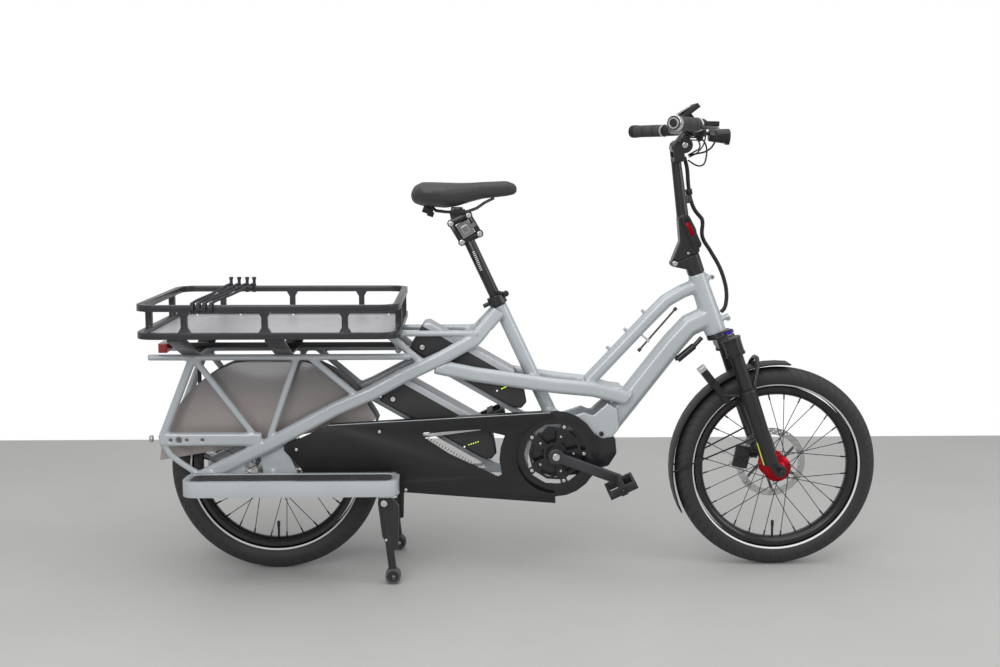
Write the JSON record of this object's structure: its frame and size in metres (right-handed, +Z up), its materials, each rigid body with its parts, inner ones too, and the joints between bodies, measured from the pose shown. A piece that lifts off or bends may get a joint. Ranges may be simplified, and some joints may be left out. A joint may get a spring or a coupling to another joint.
{
  "type": "longtail cargo bike",
  "caption": "Longtail electric cargo bike with a low frame, railed rear tray, foot decks, centre motor, folding bar mast, sprung fork and double-leg stand.",
  "frame": {"origin": "on the ground, under the middle of the length and of the width", "axes": "+X towards the front wheel, +Z up, -Y towards the chain side"},
  "size_m": [1.829, 0.6996, 1.1752],
  "materials": {
    "frame_paint": "light grey gloss paint",
    "dark_metal": "satin black coating",
    "tray_paint": "dark grey satin paint",
    "floor_plate": "silver grey matt paint",
    "black_plastic": "matt black",
    "gloss_black": "gloss black",
    "guard_panel": "smoked translucent",
    "tyre_rubber": "black rubber with a light stripe",
    "grip_rubber": "matt black rubber",
    "saddle_cover": "black grained cover",
    "red_anodised": "red anodised",
    "steel": "bright steel",
    "lamp_lens": "red lens",
    "cord": "woven cord",
    "battery_shell": "black shell with a silver face"
  },
  "bodies": {
    "frame": {"main_frame": "frame_paint", "side_frame_right": "frame_paint", "side_frame_left": "frame_paint", "tray_frame": "tray_paint", "tray_floor": "floor_plate", "bungee": "cord", "foot_deck_right": "frame_paint", "foot_deck_left": "frame_paint", "rear_fender": "black_plastic", "wheel_guards": "guard_panel", "chain_case": "black_plastic", "chain": "steel", "motor": "dark_metal", "rear_lamp": "lamp_lens", "seat_clamp": "dark_metal", "steering_damper": "dark_metal", "hose_lower": "grip_rubber"},
    "battery_pack_upper": {"battery_upper": "battery_shell"},
    "battery_pack_lower": {"battery_lower": "battery_shell"},
    "seat_quick_lever": {"seat_lever": "dark_metal"},
    "seat_post_body": {"seatpost": "dark_metal"},
    "front_link": {"seat_link_front": "dark_metal"},
    "rear_link": {"seat_link_rear": "dark_metal"},
    "seat_top": {"seat_head": "dark_metal", "saddle": "saddle_cover"},
    "stand": {"stand_legs": "dark_metal"},
    "cranks": {"crankset": "dark_metal", "chainring": "dark_metal"},
    "right_pedal": {"pedal_right": "black_plastic"},
    "left_pedal": {"pedal_left": "black_plastic"},
    "freewheel": {"rear_sprocket": "steel"},
    "rear_wheel": {"rear_tyre": "tyre_rubber", "rear_rim": "dark_metal", "rear_spokes": "dark_metal", "rear_hub": "red_anodised"},
    "steerer": {"fork_crown": "dark_metal", "mast_base": "dark_metal"},
    "fork_slider": {"fork_lowers": "dark_metal", "front_fender": "black_plastic", "ring_lock": "black_plastic"},
    "front_wheel": {"front_tyre": "tyre_rubber", "front_rim": "dark_metal", "front_spokes": "dark_metal", "front_hub": "red_anodised", "front_rotor": "steel"},
    "folding_mast": {"mast": "dark_metal", "hose_upper": "grip_rubber"},
    "latch": {"latch_lever": "dark_metal"},
    "latch_safety": {"latch_slider": "red_anodised"},
    "cockpit": {"stem": "dark_metal", "handlebar": "dark_metal", "grip_right": "grip_rubber", "grip_left": "grip_rubber", "display": "black_plastic", "headlight": "gloss_black", "brake_perch_right": "black_plastic", "brake_perch_left": "black_plastic"},
    "right_brake": {"brake_lever_right": "dark_metal"},
    "left_brake": {"brake_lever_left": "dark_metal"},
    "shifter": {"shifter_paddles": "black_plastic"}
  },
  "joints": [
    {"name": "steering", "type": "hinge", "parent": "frame", "child": "steerer", "pos_m": [0.497, 0, 0.603], "axis": [-0.3289, 0, 0.9444], "range_deg": [-50, 50], "stiffness_Nm_per_rad": 2, "deforming": ["hose_lower", "steering_damper"]},
    {"name": "fork_travel", "type": "slide", "parent": "steerer", "child": "fork_slider", "axis": [-0.3289, 0, 0.9444], "range_m": [0, 0.05], "stiffness_N_per_m": 8000, "springref_m": -0.03},
    {"name": "front_wheel_spin", "type": "hinge", "parent": "fork_slider", "child": "front_wheel", "pos_m": [0.6565, 0, 0.258], "axis": [0, 1, 0], "continuous": true},
    {"name": "mast_fold", "type": "hinge", "parent": "steerer", "child": "folding_mast", "pos_m": [0.38578, 0, 0.78007], "axis": [0, -1, 0], "range_deg": [0, 95], "deforming": ["hose_lower"]},
    {"name": "latch_open", "type": "hinge", "parent": "folding_mast", "child": "latch", "pos_m": [0.44059, 0, 0.82723], "axis": [0, 1, 0], "range_deg": [0, 60]},
    {"name": "latch_slide", "type": "slide", "parent": "latch", "child": "latch_safety", "axis": [-0.4303, 0, 0.9027], "range_m": [0, 0.008], "stiffness_N_per_m": 500, "springref_m": -0.004},
    {"name": "stem_tilt", "type": "hinge", "parent": "folding_mast", "child": "cockpit", "pos_m": [0.38896, 0, 1.0689], "axis": [0, 1, 0], "range_deg": [-20, 20]},
    {"name": "brake_squeeze_right", "type": "hinge", "parent": "cockpit", "child": "right_brake", "pos_m": [0.44255, -0.2, 1.11582], "axis": [0, 0, -1], "range_deg": [0, 8], "stiffness_Nm_per_rad": 4, "springref_deg": -5.73},
    {"name": "brake_squeeze_left", "type": "hinge", "parent": "cockpit", "child": "left_brake", "pos_m": [0.44255, 0.2, 1.11582], "axis": [0, 0, 1], "range_deg": [0, 8], "stiffness_Nm_per_rad": 4, "springref_deg": -5.73},
    {"name": "shift_press", "type": "hinge", "parent": "cockpit", "child": "shifter", "pos_m": [0.41255, -0.178, 1.095], "axis": [0, 0, 1], "range_deg": [0, 15], "stiffness_Nm_per_rad": 1, "springref_deg": -5.73},
    {"name": "rear_wheel_spin", "type": "hinge", "parent": "frame", "child": "rear_wheel", "pos_m": [-0.6175, 0, 0.265], "axis": [0, 1, 0], "continuous": true},
    {"name": "crank_spin", "type": "hinge", "parent": "frame", "child": "cranks", "pos_m": [0.0865, 0, 0.306], "axis": [0, 1, 0], "continuous": true},
    {"name": "sprocket_spin", "type": "hinge", "parent": "frame", "child": "freewheel", "pos_m": [-0.6175, 0, 0.265], "axis": [0, 1, 0], "continuous": true},
    {"name": "pedal_spin_right", "type": "hinge", "parent": "cranks", "child": "right_pedal", "pos_m": [0.24105, -0.094, 0.24822], "axis": [0, 1, 0], "continuous": true},
    {"name": "pedal_spin_left", "type": "hinge", "parent": "cranks", "child": "left_pedal", "pos_m": [-0.06805, 0.094, 0.36378], "axis": [0, 1, 0], "continuous": true},
    {"name": "stand_fold", "type": "hinge", "parent": "frame", "child": "stand", "pos_m": [-0.3375, 0, 0.201], "axis": [0, 1, 0], "range_deg": [0, 88]},
    {"name": "seatpost_height", "type": "slide", "parent": "frame", "child": "seat_post_body", "axis": [-0.4258, 0, 0.9048], "range_m": [-0.11, 0.06]},
    {"name": "seat_lever_open", "type": "hinge", "parent": "frame", "child": "seat_quick_lever", "pos_m": [-0.03616, 0, 0.70469], "axis": [0, 1, 0], "range_deg": [0, 60]},
    {"name": "seat_link_front_swing", "type": "hinge", "parent": "seat_post_body", "child": "front_link", "pos_m": [-0.10164, 0, 0.85465], "axis": [0, -1, 0], "range_deg": [0, 30], "stiffness_Nm_per_rad": 60, "springref_deg": -5.73},
    {"name": "seat_link_rear_swing", "type": "hinge", "parent": "seat_post_body", "child": "rear_link", "pos_m": [-0.14565, 0, 0.83356], "axis": [0, -1, 0], "range_deg": [0, 30]},
    {"name": "seat_head_swing", "type": "hinge", "parent": "front_link", "child": "seat_top", "pos_m": [-0.12911, 0, 0.90091], "axis": [0, -1, 0], "range_deg": [-30, 0]},
    {"name": "battery_upper_lift", "type": "hinge", "parent": "frame", "child": "battery_pack_upper", "pos_m": [0.00082, 0, 0.408], "axis": [0, 1, 0], "range_deg": [0, 7]},
    {"name": "battery_lower_lift", "type": "hinge", "parent": "frame", "child": "battery_pack_lower", "pos_m": [-0.07418, 0, 0.2781], "axis": [0, 1, 0], "range_deg": [0, 7]}
  ],
  "couplings": [
    {"joint": "sprocket_spin", "follows": "crank_spin", "ratio": 2.4444},
    {"joint": "seat_link_rear_swing", "follows": "seat_link_front_swing", "ratio": 1},
    {"joint": "seat_head_swing", "follows": "seat_link_front_swing", "ratio": -1}
  ]
}
